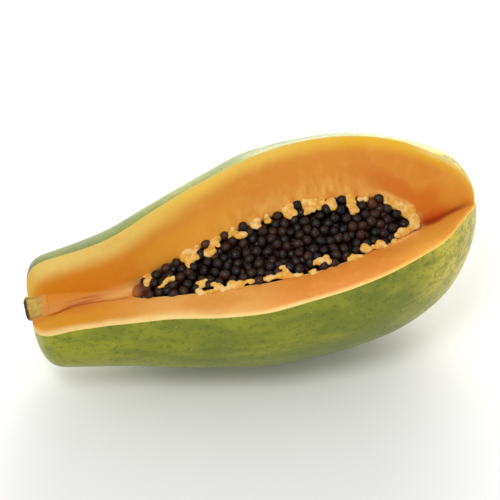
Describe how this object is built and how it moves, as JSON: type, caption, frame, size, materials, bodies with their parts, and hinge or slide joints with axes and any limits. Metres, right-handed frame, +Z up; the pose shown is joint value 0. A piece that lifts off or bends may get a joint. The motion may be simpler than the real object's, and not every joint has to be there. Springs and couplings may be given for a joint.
{
  "type": "cut papaya",
  "caption": "Papaya lying on its side with a lengthwise wedge cut out, showing orange flesh, a cavity heaped with dark seeds and a short stem stub.",
  "frame": {"origin": "centre of the fruit's bounding box, on the table it rests on", "axes": "+X from the stem end to the blossom end, -Y towards the open side of the cut, +Z up"},
  "size_m": [0.2895, 0.1361, 0.13],
  "materials": {
    "flesh": "moist cut fruit flesh, matte to satin",
    "skin": "thin waxy green rind with fine speckles, satin",
    "seed": "dark brown wet seed coat, glossy",
    "stem": "dry bark with a pale cut face, matte"
  },
  "bodies": {
    "root": {"papaya": "flesh", "seed_heap": "seed", "stem_stub": "stem"}
  },
  "joints": []
}
